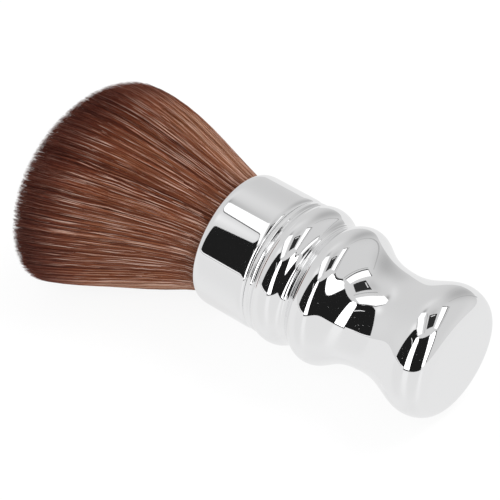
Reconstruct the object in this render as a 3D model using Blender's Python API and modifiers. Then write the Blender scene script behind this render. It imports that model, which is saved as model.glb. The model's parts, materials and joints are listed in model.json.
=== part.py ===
"""Neck duster brush: a turned, chrome-plated handle with a soft flared tuft, lying on its side.

The brush is modelled upright, with the flat end of its handle at height zero and its bristles
up, under an empty that lays it down. It then rests on the handle's pommel and on the underside
of the tuft, which the brush's weight has flattened and pushed a little to one side.

From the flat end up, the pieces are the handle body with its cored-out middle, the ferrule
that is sleeved over the body's spigot, and in the ferrule the knot cup, the potting resin, the
band that binds the filaments, and the tuft itself. All sizes are in metres.
"""
import math

import bpy
from mathutils import Vector, geometry

# ---- driving sizes: the handle's outline, from the flat end up -------------------------------
END_FACE_RADIUS = 0.01545    # flat end that the brush stands on
POMMEL_RISE = 0.00835        # flat end to the pommel's crest
POMMEL_RADIUS = 0.0215
WAIST_RISE = 0.01705         # pommel's crest to the waist
WAIST_RADIUS = 0.01685
LOWER_RING_RISE = 0.0189     # waist to the lower ring's crest
LOWER_RING_RADIUS = 0.0230
GROOVE_RISE = 0.0063         # lower ring's crest to the groove between the rings
GROOVE_RADIUS = 0.0210
UPPER_RING_RISE = 0.00785    # groove to the upper ring's crest
UPPER_RING_RADIUS = 0.02325
NECK_RISE = 0.00415          # upper ring's crest to the groove under the bead
NECK_RADIUS = 0.0219
BEAD_RISE = 0.0014           # neck groove to the fine bead's crest
BEAD_RADIUS = 0.02235
SHOULDER_RISE = 0.0011       # bead's crest to the shoulder that the ferrule sits on
SHOULDER_STEP = 0.0008       # how far the shoulder stays inside the ferrule's side

# How far each stretch of the outline keeps running along the axis at its upper and its lower
# end, as shares of the stretch.
UPPER_RING_CURVE = (0.44, 0.36)
LOWER_RING_CURVE = (0.11, 0.54)
WAIST_CURVE = (0.32, 0.69)
POMMEL_CURVE = (0.44, 0.325)

# ---- driving sizes: inside the handle --------------------------------------------------------
WAIST_WALL = 0.0028          # left between the waist and the straight core
CORE_FLOOR = 0.0050          # left under the core
CORE_TAPER_RISE = 0.0080     # length of the cone from the core to the socket
SPIGOT_WALL = 0.0024
SOCKET_DEPTH = 0.0180        # wide socket below the spigot's top

# ---- driving sizes: ferrule and knot ---------------------------------------------------------
FERRULE_RADIUS = 0.0225
FERRULE_WALL = 0.0019
FERRULE_LENGTH = 0.0198
FERRULE_FOOT_ROUND = 0.0010  # rounding of the ferrule's lower edge
FERRULE_RIM_ROUND = 0.0005   # rounding of its rim
FIT_GAP = 0.0003             # between pieces that seat on each other
CUP_RECESS = 0.0039          # ferrule's rim to the cup's rim
CUP_HEIGHT = 0.0086
CUP_WALL = 0.0010
CUP_FLOOR = 0.0014
RESIN_DEPTH = 0.0030
BAND_WALL = 0.0008
BAND_HEIGHT = 0.0022
BAND_ABOVE_RESIN = 0.0007

# ---- driving sizes: the tuft -----------------------------------------------------------------
TUFT_ROOT_DEPTH = 0.0016     # slice in which the filaments are fused together
MOUTH_CLEARANCE = 0.0016     # between the tuft and the ferrule's mouth
TUFT_RADIUS = 0.0398         # at its widest
TUFT_WIDEST_REACH = 0.0558   # rim to the widest place
FLARE_START = 0.0204         # how far the flare keeps its first slope
FLARE_END = 0.0183           # how far before the widest place it turns parallel
FLARE_SLOPE = 0.295           # radius gained per length at the mouth
DOME_BASE_REACH = 0.0502     # rim to the tips of the outermost filaments
DOME_RISE = 0.0139           # those tips to the middle of the dome
DOME_POWER = 1.66            # 2 makes the dome's section an ellipse, 1 a cone
DOME_TOP_LEAD = 0.0022       # how much further the upper tips reach
DOME_SIDE_LEAD = 0.0016      # the same on the side that the tips drift to
STRAND_COUNT = 320
STRAND_SIDES = 3
STRAND_ROOT_SHARE = 0.40     # strand's half-width as a share of the distance between roots
STRAND_BODY_SHARE = 0.46     # the same where the locks are fullest
ROOT_MARGIN = 0.0003         # between the outermost roots and the root disc's edge
LOCK_REACH = 0.0250          # rim to where the strands first bend outwards
TIP_LENGTH = 0.0032          # point at each strand's end

# ---- driving sizes: how the brush lies -------------------------------------------------------
REST_TILT = math.radians(3.0)  # rim end raised by the tuft under it
TUFT_LEAN = 0.0114             # sideways drift of the tips
TUFT_SAG = 0.0036              # downward drift of the tips
LEAN_POWER = 1.54
FLATTEN_POWER = 2.5            # how tightly the underside hugs the floor
SQUEEZE_LIMIT = 0.75           # below 1, so that squeezed filaments stay in order

# ---- mesh fineness ---------------------------------------------------------------------------
TURN_STEPS = 48
CURVE_POINTS = 6
HALVINGS = 30                # of the interval that holds a point of the flare
MERGE_DISTANCE = 0.00001     # joins a turned piece's points on the axis
SHARP_ANGLE = math.radians(35.0)

# heights from the flat end, all worked out from the sizes above
POMMEL_HEIGHT = POMMEL_RISE
WAIST_HEIGHT = POMMEL_HEIGHT + WAIST_RISE
LOWER_RING_HEIGHT = WAIST_HEIGHT + LOWER_RING_RISE
GROOVE_HEIGHT = LOWER_RING_HEIGHT + GROOVE_RISE
UPPER_RING_HEIGHT = GROOVE_HEIGHT + UPPER_RING_RISE
NECK_HEIGHT = UPPER_RING_HEIGHT + NECK_RISE
BEAD_HEIGHT = NECK_HEIGHT + BEAD_RISE
SHOULDER_HEIGHT = BEAD_HEIGHT + SHOULDER_RISE
FERRULE_FOOT = SHOULDER_HEIGHT + FIT_GAP
RIM_HEIGHT = FERRULE_FOOT + FERRULE_LENGTH
CUP_TOP = RIM_HEIGHT - CUP_RECESS
CUP_FOOT = CUP_TOP - CUP_HEIGHT
SPIGOT_TOP = CUP_FOOT - FIT_GAP
SOCKET_FLOOR = SPIGOT_TOP - SOCKET_DEPTH

# radii, from the ferrule inwards
FERRULE_BORE = FERRULE_RADIUS - FERRULE_WALL
SHOULDER_RADIUS = FERRULE_RADIUS - SHOULDER_STEP
SPIGOT_RADIUS = FERRULE_BORE - FIT_GAP
SOCKET_RADIUS = SPIGOT_RADIUS - SPIGOT_WALL
CORE_RADIUS = WAIST_RADIUS - WAIST_WALL
CUP_RADIUS = FERRULE_BORE - FIT_GAP
CUP_BORE = CUP_RADIUS - CUP_WALL
RESIN_RADIUS = CUP_BORE - FIT_GAP
BAND_OUTER = CUP_BORE - FIT_GAP
BAND_INNER = BAND_OUTER - BAND_WALL
ROOT_RADIUS = BAND_INNER - FIT_GAP
MOUTH_TUFT_RADIUS = FERRULE_BORE - MOUTH_CLEARANCE

# heights of what lies in the cup
CUP_FLOOR_TOP = CUP_FOOT + CUP_FLOOR
RESIN_FOOT = CUP_FLOOR_TOP + FIT_GAP
RESIN_TOP = RESIN_FOOT + RESIN_DEPTH
BAND_FOOT = RESIN_TOP + BAND_ABOVE_RESIN
BAND_TOP = BAND_FOOT + BAND_HEIGHT
ROOT_FOOT = RESIN_TOP + FIT_GAP
ROOT_TOP = ROOT_FOOT + TUFT_ROOT_DEPTH


def turned_curve(start, end, curve):
    """Points after start of a smooth S-curve between two crests given as (radius, height).

    Both ends run along the axis; curve says how far, as shares of the stretch.
    """
    lead, trail = curve
    rise = end[1] - start[1]
    points = []
    for step in range(1, CURVE_POINTS + 1):
        t = step / CURVE_POINTS
        ease = t * t * (3 - 2 * t)
        radius = start[0] + (end[0] - start[0]) * ease
        along = 3 * t * (1 - t) ** 2 * lead + 3 * t * t * (1 - t) * (1 - trail) + t ** 3
        points.append((radius, start[1] + rise * along))
    return points


def quarter_round(start, end, bulge_first, count=4):
    """Points after start of an elliptical quarter; bulge_first keeps the radius longest."""
    points = []
    for step in range(1, count + 1):
        turn = 0.5 * math.pi * step / count
        if bulge_first:
            across, along = 1 - math.cos(turn), math.sin(turn)
        else:
            across, along = math.sin(turn), 1 - math.cos(turn)
        points.append((start[0] + (end[0] - start[0]) * across,
                       start[1] + (end[1] - start[1]) * along))
    return points


def handle_outline():
    """The handle's outer side, from the shoulder down to the flat end."""
    shoulder = (SHOULDER_RADIUS, SHOULDER_HEIGHT)
    bead = (BEAD_RADIUS, BEAD_HEIGHT)
    neck = (NECK_RADIUS, NECK_HEIGHT)
    upper_ring = (UPPER_RING_RADIUS, UPPER_RING_HEIGHT)
    groove = (GROOVE_RADIUS, GROOVE_HEIGHT)
    lower_ring = (LOWER_RING_RADIUS, LOWER_RING_HEIGHT)
    waist = (WAIST_RADIUS, WAIST_HEIGHT)
    pommel = (POMMEL_RADIUS, POMMEL_HEIGHT)
    outline = [shoulder]
    outline += quarter_round(shoulder, bead, bulge_first=False, count=3)
    outline += quarter_round(bead, neck, bulge_first=True, count=3)
    outline += quarter_round(neck, upper_ring, bulge_first=False, count=6)
    outline += turned_curve(upper_ring, groove, UPPER_RING_CURVE)
    outline += turned_curve(groove, lower_ring, LOWER_RING_CURVE)
    outline += turned_curve(lower_ring, waist, WAIST_CURVE)
    outline += turned_curve(waist, pommel, POMMEL_CURVE)
    outline += quarter_round(pommel, (END_FACE_RADIUS, 0.0), bulge_first=True, count=7)
    return outline


def material(name, colour, metallic, roughness):
    """A Principled material."""
    made = bpy.data.materials.new(name)
    made.use_nodes = True
    shader = made.node_tree.nodes["Principled BSDF"]
    shader.inputs["Base Color"].default_value = (*colour, 1.0)
    shader.inputs["Metallic"].default_value = metallic
    shader.inputs["Roughness"].default_value = roughness
    made.diffuse_color = (*colour, 1.0)
    return made


def finish(mesh, name, look, parent, parts):
    """Put a mesh into the model as the object called name."""
    piece = bpy.data.objects.new(name, mesh)
    mesh.materials.append(look)
    piece.parent = parent
    parts.objects.link(piece)
    return piece


def turned(name, profile, look, parent, parts):
    """A turned piece: a closed profile of (radius, height) swept round the brush's axis."""
    mesh = bpy.data.meshes.new(name)
    count = len(profile)
    edges = [(i, i + 1) for i in range(count - 1)]
    if profile[0][0] > 0.0:
        edges.append((count - 1, 0))
    mesh.from_pydata([(radius, 0.0, height) for radius, height in profile], edges, [])
    piece = finish(mesh, name, look, parent, parts)
    turn = piece.modifiers.new("Turn", "SCREW")
    turn.axis = "Z"
    turn.steps = TURN_STEPS
    turn.render_steps = TURN_STEPS
    turn.use_merge_vertices = True
    turn.merge_threshold = MERGE_DISTANCE
    shaped = piece.evaluated_get(bpy.context.evaluated_depsgraph_get())
    solid = bpy.data.meshes.new_from_object(shaped)
    solid.name = name
    solid.shade_smooth()
    solid.set_sharp_from_angle(angle=SHARP_ANGLE)
    piece.modifiers.remove(turn)
    piece.data = solid
    bpy.data.meshes.remove(mesh)
    return piece


def handle_body(look, parent, parts):
    """The plated body: outline, flat end, cored-out middle, socket and spigot."""
    inside = [(0.0, CORE_FLOOR), (CORE_RADIUS, CORE_FLOOR),
              (CORE_RADIUS, SOCKET_FLOOR - CORE_TAPER_RISE),
              (SOCKET_RADIUS, SOCKET_FLOOR), (SOCKET_RADIUS, SPIGOT_TOP)]
    spigot = [(SPIGOT_RADIUS, SPIGOT_TOP), (SPIGOT_RADIUS, SHOULDER_HEIGHT)]
    profile = inside + spigot + handle_outline() + [(0.0, 0.0)]
    return turned("handle_body", profile, look, parent, parts)


def ferrule(look, parent, parts):
    """The sleeve that makes the handle's collar and holds the knot."""
    rim_inner = (FERRULE_BORE, RIM_HEIGHT)
    rim_outer = (FERRULE_RADIUS - FERRULE_RIM_ROUND, RIM_HEIGHT)
    side_top = (FERRULE_RADIUS, RIM_HEIGHT - FERRULE_RIM_ROUND)
    side_foot = (FERRULE_RADIUS, FERRULE_FOOT + FERRULE_FOOT_ROUND)
    foot = (FERRULE_RADIUS - FERRULE_FOOT_ROUND, FERRULE_FOOT)
    profile = [(FERRULE_BORE, FERRULE_FOOT), rim_inner, rim_outer]
    profile += quarter_round(rim_outer, side_top, bulge_first=False, count=3)
    profile.append(side_foot)
    profile += quarter_round(side_foot, foot, bulge_first=True)
    return turned("ferrule", profile, look, parent, parts)


def knot_cup(look, parent, parts):
    """The moulded cup in which the tuft is potted."""
    profile = [(0.0, CUP_FLOOR_TOP), (CUP_BORE, CUP_FLOOR_TOP), (CUP_BORE, CUP_TOP),
               (CUP_RADIUS, CUP_TOP), (CUP_RADIUS, CUP_FOOT), (0.0, CUP_FOOT)]
    return turned("knot_cup", profile, look, parent, parts)


def potting_resin(look, parent, parts):
    """The disc of resin under the filaments."""
    profile = [(0.0, RESIN_TOP), (RESIN_RADIUS, RESIN_TOP), (RESIN_RADIUS, RESIN_FOOT),
               (0.0, RESIN_FOOT)]
    return turned("potting_resin", profile, look, parent, parts)


def knot_band(look, parent, parts):
    """The band that binds the filaments above the resin."""
    profile = [(BAND_INNER, BAND_FOOT), (BAND_INNER, BAND_TOP),
               (BAND_OUTER, BAND_TOP), (BAND_OUTER, BAND_FOOT)]
    return turned("knot_band", profile, look, parent, parts)


def flare_radius(reach):
    """The free tuft's radius at a distance above the rim, along one cubic Bezier curve."""
    along = (0.0, FLARE_START, TUFT_WIDEST_REACH - FLARE_END, TUFT_WIDEST_REACH)
    across = (MOUTH_TUFT_RADIUS, MOUTH_TUFT_RADIUS + FLARE_SLOPE * FLARE_START,
              TUFT_RADIUS, TUFT_RADIUS)
    low, high = 0.0, 1.0
    for _ in range(HALVINGS):
        t = 0.5 * (low + high)
        if bezier(along, t) < reach:
            low = t
        else:
            high = t
    return bezier(across, t)


def bezier(values, t):
    """One coordinate of a cubic Bezier curve."""
    s = 1 - t
    return (s ** 3 * values[0] + 3 * s * s * t * values[1]
            + 3 * s * t * t * values[2] + t ** 3 * values[3])


def rest_height():
    """Height of the flat end's centre above the floor, with the handle touching it."""
    return max(radius * math.cos(REST_TILT) - height * math.sin(REST_TILT)
               for radius, height in handle_outline())


def settled(point):
    """Where a point of the free tuft comes to lie, in the upright brush's own frame.

    The brush lies with its +X side up. The tips drift down and towards -Y, and what would
    reach through the floor is squeezed up, most of all at the very bottom.
    """
    reach = max(0.0, point.z - RIM_HEIGHT)
    drift = (reach / (DOME_BASE_REACH + DOME_RISE)) ** LEAN_POWER
    side = point.y - TUFT_LEAN * drift
    depth = TUFT_SAG * drift - point.x
    need = flare_radius(min(reach, TUFT_WIDEST_REACH)) + TUFT_SAG * drift
    room = (rest_height() + point.z * math.sin(REST_TILT)) / math.cos(REST_TILT)
    excess = max(0.0, need - room)
    if depth > 0.0 and excess > 0.0:
        power = min(FLATTEN_POWER, SQUEEZE_LIMIT * need / excess)
        depth -= excess * min(1.0, depth / need) ** power
    return Vector((-depth, side, point.z))


def tip_reach(share, angle):
    """Rim to dome, at this share of the radius and this angle from the upper side."""
    dome = DOME_RISE * (1 - share ** DOME_POWER) ** (1 / DOME_POWER)
    lead = DOME_TOP_LEAD * math.cos(angle) - DOME_SIDE_LEAD * math.sin(angle)
    return DOME_BASE_REACH + dome + share * share * lead


def strand_places():
    """The strands' places in the tuft as (share of the radius, angle), in a sunflower pattern."""
    golden_angle = math.pi * (3 - math.sqrt(5))
    return [(math.sqrt((i + 0.5) / STRAND_COUNT), i * golden_angle) for i in range(STRAND_COUNT)]


def strand_ring(share, angle, radius, half_width, height):
    """The corners of one strand's section, in a plane across the brush's axis."""
    centre = Vector((share * radius * math.cos(angle), share * radius * math.sin(angle), height))
    corners = []
    for side in range(STRAND_SIDES):
        turn = angle + 2 * math.pi * side / STRAND_SIDES
        corners.append(centre + half_width * Vector((math.cos(turn), math.sin(turn), 0.0)))
    return corners


def bristle_tuft(look, parent, parts):
    """All the strands, each growing out of the top of one fused root disc."""
    spacing = math.sqrt(math.pi / STRAND_COUNT)
    root_width = STRAND_ROOT_SHARE * spacing * ROOT_RADIUS
    tip_radius = flare_radius(DOME_BASE_REACH)
    vertices = []
    faces = []

    # the disc's top, cut into triangles that leave each strand's root free
    rim = [Vector((ROOT_RADIUS * math.cos(2 * math.pi * i / TURN_STEPS),
                   ROOT_RADIUS * math.sin(2 * math.pi * i / TURN_STEPS), ROOT_TOP))
           for i in range(TURN_STEPS)]
    vertices += rim
    loops = [list(range(TURN_STEPS))]
    places = strand_places()
    inset = ROOT_RADIUS - root_width - ROOT_MARGIN
    for share, angle in places:
        loops.append(list(range(len(vertices), len(vertices) + STRAND_SIDES)))
        vertices += strand_ring(share, angle, inset, root_width, ROOT_TOP)
    flat = [Vector((v.x, v.y)) for v in vertices]
    result = geometry.delaunay_2d_cdt(flat, [], loops, 1, 1e-9, True)
    _, _, cells, first_corners, _, cell_loops = result
    for cell, inside_loops in zip(cells, cell_loops):
        if inside_loops == [0]:
            faces.append(tuple(first_corners[corner][0] for corner in cell))

    # the disc's side and underside
    under = len(vertices)
    vertices += [Vector((v.x, v.y, ROOT_FOOT)) for v in rim]
    for i in range(TURN_STEPS):
        j = (i + 1) % TURN_STEPS
        faces.append((j, i, under + i, under + j))
    faces.append(tuple(reversed(range(under, under + TURN_STEPS))))

    # the strands: sections in the ferrule's mouth, low on the flare and near the dome, and a
    # point on the dome
    for (share, angle), root in zip(places, loops[1:]):
        below = root
        end = tip_reach(share, angle)
        for reach in (0.0, LOCK_REACH, end - TIP_LENGTH):
            radius = flare_radius(reach)
            half_width = STRAND_BODY_SHARE * spacing * radius
            ring = list(range(len(vertices), len(vertices) + STRAND_SIDES))
            corners = strand_ring(share, angle, radius - half_width, half_width, RIM_HEIGHT + reach)
            vertices += [settled(corner) for corner in corners]
            faces += [(below[i], below[(i + 1) % STRAND_SIDES],
                       ring[(i + 1) % STRAND_SIDES], ring[i]) for i in range(STRAND_SIDES)]
            below = ring
        tip = Vector((share * tip_radius * math.cos(angle), share * tip_radius * math.sin(angle),
                      RIM_HEIGHT + end))
        vertices.append(settled(tip))
        faces += [(below[i], below[(i + 1) % STRAND_SIDES], len(vertices) - 1)
                  for i in range(STRAND_SIDES)]

    mesh = bpy.data.meshes.new("bristle_tuft")
    mesh.from_pydata(vertices, [], faces)
    mesh.validate()
    return finish(mesh, "bristle_tuft", look, parent, parts)


def lay_down(brush):
    """Lay the upright brush on its side, with the rim end raised, touching the floor."""
    brush.rotation_euler = (0.0, REST_TILT - 0.5 * math.pi, 0.0)
    brush.location = (0.0, 0.0, rest_height())


def centre_on_origin(brush, pieces):
    """Move the brush along the floor until the middle of its box is over the origin."""
    bpy.context.view_layer.update()
    depsgraph = bpy.context.evaluated_depsgraph_get()
    corners = []
    for piece in pieces:
        shape = piece.evaluated_get(depsgraph)
        corners += [shape.matrix_world @ vertex.co for vertex in shape.data.vertices]
    for axis in (0, 1):
        values = [corner[axis] for corner in corners]
        brush.location[axis] -= 0.5 * (min(values) + max(values))


def build():
    """The whole brush."""
    for leftover in list(bpy.data.objects):
        bpy.data.objects.remove(leftover, do_unlink=True)
    parts = bpy.data.collections.new("neck_duster_brush")
    bpy.context.scene.collection.children.link(parts)
    brush = bpy.data.objects.new("brush_axis", None)
    parts.objects.link(brush)

    chrome = material("chrome_plate", (0.86, 0.86, 0.87), 1.0, 0.05)
    cup_plastic = material("cup_plastic", (0.78, 0.77, 0.74), 0.0, 0.55)
    resin = material("potting_resin", (0.72, 0.52, 0.25), 0.0, 0.30)
    band_metal = material("band_metal", (0.70, 0.70, 0.71), 0.9, 0.35)
    filament = material("filament", (0.24, 0.09, 0.05), 0.0, 0.60)

    pieces = [
        handle_body(chrome, brush, parts),
        ferrule(chrome, brush, parts),
        knot_cup(cup_plastic, brush, parts),
        potting_resin(resin, brush, parts),
        knot_band(band_metal, brush, parts),
        bristle_tuft(filament, brush, parts),
    ]
    lay_down(brush)
    centre_on_origin(brush, pieces)


build()
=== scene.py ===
"""Looks of the neck duster brush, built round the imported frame.

The chrome handle and ferrule are turned again, finely, from the sizes of the CAD model, because
mirror plating shows every facet. The tuft is a soft core under tens of thousands of tapered
filaments, which follow the same flare, drift and flattened underside as the CAD strands. The cup,
the resin and the band keep their CAD shapes and get better materials. Light comes from a pale
room, two soft lamps, and cards and dark openings that only the chrome sees.

Lengths are in metres, and angles in degrees where a name or comment doesn't say otherwise.
"""

import json
import math

import bpy
import numpy as np
from mathutils import Matrix, Vector


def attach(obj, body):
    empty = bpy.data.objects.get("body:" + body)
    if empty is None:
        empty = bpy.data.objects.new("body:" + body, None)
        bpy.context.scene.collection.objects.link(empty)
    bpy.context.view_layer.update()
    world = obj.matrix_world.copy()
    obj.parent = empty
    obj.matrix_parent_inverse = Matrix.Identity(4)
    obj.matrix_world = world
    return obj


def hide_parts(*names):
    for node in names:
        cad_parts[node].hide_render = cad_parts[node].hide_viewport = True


# ---- the handle's outline, from the flat end up ----------------------------------------------
# Heights and radii are the CAD model's, apart from the shoulder, which comes closer to the
# ferrule's foot, and the groove between the rings, which is 0.55 mm deeper.
END_FACE_RADIUS = 0.01545
POMMEL_RISE, POMMEL_RADIUS = 0.00835, 0.0215
WAIST_RISE, WAIST_RADIUS = 0.01705, 0.01685
LOWER_RING_RISE, LOWER_RING_RADIUS = 0.0189, 0.0230
GROOVE_RISE, GROOVE_RADIUS = 0.0063, 0.02045
UPPER_RING_RISE, UPPER_RING_RADIUS = 0.00785, 0.02325
NECK_RISE, NECK_RADIUS = 0.00415, 0.0219
BEAD_RISE, BEAD_RADIUS = 0.0014, 0.02235
SHOULDER_RISE, SHOULDER_STEP = 0.00132, 0.0008
UPPER_RING_SHARE = 0.57      # how much of the way to the groove bulges outwards

# how far each stretch of the outline keeps running along the axis at its upper and its lower
# end, as shares of the stretch
LOWER_RING_CURVE = (0.14, 0.54)
WAIST_CURVE = (0.30, 0.69)
POMMEL_CURVE = (0.44, 0.325)

# ---- the ferrule and what it sits on ---------------------------------------------------------
FERRULE_RADIUS = 0.0225
FERRULE_WALL = 0.0019
FERRULE_LENGTH = 0.0198
FOOT_ROUND_LENGTH = 0.0022   # rounding of its lower edge, along the axis
FOOT_ROUND_DEPTH = 0.0008    # and across it
RIM_ROUND_LENGTH = 0.0026    # the same at its rim
RIM_ROUND_DEPTH = 0.0006
FIT_GAP = 0.0003             # between the spigot and the ferrule's bore
FOOT_GAP = 0.00008           # between the shoulder and the ferrule's foot
SPIGOT_RISE = 0.0070         # how far the body's spigot reaches into the ferrule
SOCKET_DEPTH = 0.0100        # blind hollow in the spigot; deeper down nothing can be seen
SPIGOT_WALL = 0.0024

POMMEL_HEIGHT = POMMEL_RISE
WAIST_HEIGHT = POMMEL_HEIGHT + WAIST_RISE
LOWER_RING_HEIGHT = WAIST_HEIGHT + LOWER_RING_RISE
GROOVE_HEIGHT = LOWER_RING_HEIGHT + GROOVE_RISE
UPPER_RING_HEIGHT = GROOVE_HEIGHT + UPPER_RING_RISE
NECK_HEIGHT = UPPER_RING_HEIGHT + NECK_RISE
BEAD_HEIGHT = NECK_HEIGHT + BEAD_RISE
SHOULDER_HEIGHT = BEAD_HEIGHT + SHOULDER_RISE
FERRULE_FOOT = SHOULDER_HEIGHT + FOOT_GAP
RIM_HEIGHT = FERRULE_FOOT + FERRULE_LENGTH
FERRULE_BORE = FERRULE_RADIUS - FERRULE_WALL

# fine turned ribs: from and to height, how many, and their height
RIBS = [(NECK_HEIGHT - 0.0024, BEAD_HEIGHT + 0.0001, 4, 0.00006),
        (GROOVE_HEIGHT - 0.0020, GROOVE_HEIGHT + 0.0016, 4, 0.00006)]
RIB_POINTS = 10              # of the outline along each rib

# ---- the tuft's envelope, within that of the CAD strands ------------------------------------
MOUTH_RADIUS = 0.0189
TUFT_RADIUS = 0.0378         # at its widest
TUFT_WIDEST_REACH = 0.0558   # rim to the widest place
FLARE_START = 0.0204         # how far the flare keeps its first slope
FLARE_END = 0.0183           # how far before the widest place it turns parallel
FLARE_SLOPE = 0.280          # radius gained per length at the mouth
DOME_BASE_REACH = 0.0486     # rim to the tips of the outermost filaments
DOME_RISE = 0.0129           # those tips to the middle of the dome
DOME_POWER = 1.66            # 2 makes the dome's section an ellipse
DOME_TOP_LEAD = 0.0028       # how much further the upper tips reach than the middle ones
DOME_SIDE_LEAD = 0.0016      # the same on the side that the tuft has drifted to
TUFT_LEAN = 0.0113           # sideways drift of the tips
TUFT_SAG = 0.0030            # downward drift of the tips
LEAN_POWER = 1.54            # of the reach, with which both drifts grow
FLATTEN_POWER = 2.5          # how tightly the underside hugs the floor
SQUEEZE_LIMIT = 0.75         # below 1, so that squeezed filaments stay in order
SIDE_SWELL = 0.07            # how far the squeezed filaments spread sideways
SWELL_SQUEEZE = 0.010        # squeeze at which they spread fully

# ---- the filaments ---------------------------------------------------------------------------
ROOT_REACH = -0.0030         # filaments start this far inside the ferrule
SHELL_COUNT = 15000          # long filaments, ferrule to dome, that make the sides
SHELL_DEPTH = 0.13           # thickness of their layer as a share of the radius
SHELL_CROWDING = 1.4         # above 1 there are more of them near the surface
SHELL_SECTIONS = 10
SHELL_SEED = 11
DOME_COUNT = 24000           # short ones that fill the dome's face
DOME_MARGIN = 0.3            # share of the side layer that they leave free
DOME_UNEVENNESS = 0.004      # spread of their angles, in radians
DOME_LENGTH = 0.016
DOME_SECTIONS = 4
DOME_SEED = 12
SECTION_POWER = 0.9          # below 1 a filament's sections are closer together near its tip
PIECE_FACES = 190000         # most triangles in one piece

TIP_SURPLUS = 0.0014         # the longest tips stand this far above the dome
TIP_SPREAD = 0.0009          # and the others fall short of that by a gamma distribution
TIP_SPREAD_SHAPE = 1.8       # of this scale and shape

# locks of filaments share a slow wave and draw together a little towards their tips
LOCK_COUNT = 210             # round the tuft, in each layer
LOCK_LAYER = 0.04            # a layer's thickness as a share of the radius
LOCK_STAGGER = 0.37          # shift from one layer to the next, in locks
LOCK_PULL = 0.22
LOCK_WAVE = (0.00005, 0.00026)     # least and greatest height of the wave
LOCK_WAVE_LENGTH = (0.012, 0.022)
OWN_WAVE = 0.00006           # height of each filament's own wave
OWN_WAVE_LENGTH = (0.006, 0.013)
FREE_REACH = 0.020           # rim to where they wave fully
STRAY_SLOPE = 0.011          # spread of their directions
SINK_SPREAD = 0.00025        # spread of their depth

FIBRE_WIDTH = 0.000085       # half-width
GLINTING_WIDTH = 1.15          # filaments with painted pale highlights (glints) are this much wider
TIP_TAPER = 0.010            # length over which a filament thins out
TAPER_POWER = 0.8
TIP_WIDTH = 0.25             # the tip's width as a share of the filament's
TIP_POINT = 0.0005           # length of the point that ends it
FLOOR_CLEARANCE = 0.00005
ANY_WAY = (0.0, 0.3, 1.0)    # a direction that no filament follows

# their map: U holds the tint, V runs from root to tip
MAP_COLUMN = 1.0 / 256       # width of a filament
MAP_TOP = 0.97               # V of its last ring; the point behind it has V 1

# broad lanes of painted light and shade round the tuft: middle and half-width by angle, and change
# of tint
PAINTED_LIGHT_LANES = [(36, 32, 0.33), (-4, 18, -0.10), (-128, 18, 0.26), (-92, 18, -0.14)]
LOCK_TINT = 0.315            # mean of the locks' tints
LOCK_TINT_SPREAD = 0.065
OWN_TINT_SPREAD = 0.18
GLINTING_START = 0.85          # tints from here on are for filaments with painted pale highlights (glints)
GLINTING_SHARE = 0.26          # share of such filaments
TINT_MARGIN = 0.01           # kept from the ends of the tints

# ---- the soft core ---------------------------------------------------------------------------
CORE_SHARE = 0.88            # its radius as a share of the tuft's
CORE_SHORTFALL = 0.0048      # dome to the core's top
CORE_STEPS = 96              # round it
CORE_SIDE_RINGS = 28
CORE_DOME_RINGS = 14

# ---- mesh fineness of the chrome -------------------------------------------------------------
TURN_STEPS = 240
CURVE_STEP = 0.00025
ROUND_POINTS = 12
LONGEST_STRETCH = 0.0006
SHARP_ANGLE = math.radians(35.0)

# ---- camera ----------------------------------------------------------------------------------
CAMERA_AZIMUTH = 39.187
CAMERA_ELEVATION = 38.575
CAMERA_LENS = 158.4          # in millimetres, as the sensor's width
CAMERA_SENSOR = 36.0
CAMERA_DISTANCE = 0.6914
AIM_RIGHT = 0.003768         # middle of the view, seen from the middle of the ferrule's rim
AIM_DOWN = 0.003591

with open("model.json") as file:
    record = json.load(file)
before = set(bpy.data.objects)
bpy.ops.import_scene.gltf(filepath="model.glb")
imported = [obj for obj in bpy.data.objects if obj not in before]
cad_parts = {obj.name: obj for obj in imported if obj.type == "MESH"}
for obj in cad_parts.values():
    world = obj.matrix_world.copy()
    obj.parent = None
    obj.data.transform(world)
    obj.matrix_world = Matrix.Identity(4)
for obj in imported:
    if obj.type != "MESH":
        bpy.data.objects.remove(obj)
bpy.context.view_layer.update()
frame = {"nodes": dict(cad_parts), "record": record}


# ---- the brush's own axes --------------------------------------------------------------------
def brush_frame():
    """Matrix from the upright brush (flat end at the origin, tips up +Z) to the resting one."""
    mount = frame["record"]["mounts"][0]
    along = -Vector(mount["axis"]).normalized()
    side = Vector((0.0, 1.0, 0.0))
    up = side.cross(along)
    rotation = Matrix((up, side, along)).transposed().to_4x4()
    return Matrix.Translation(Vector(mount["pos_m"])) @ rotation


BRUSH = brush_frame()
RIM_CENTRE = BRUSH @ Vector((0.0, 0.0, RIM_HEIGHT))


def lay_down(points):
    """Points of the upright brush, moved to where it lies."""
    matrix = np.array(BRUSH)
    return points @ matrix[:3, :3].T + matrix[:3, 3]


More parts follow.
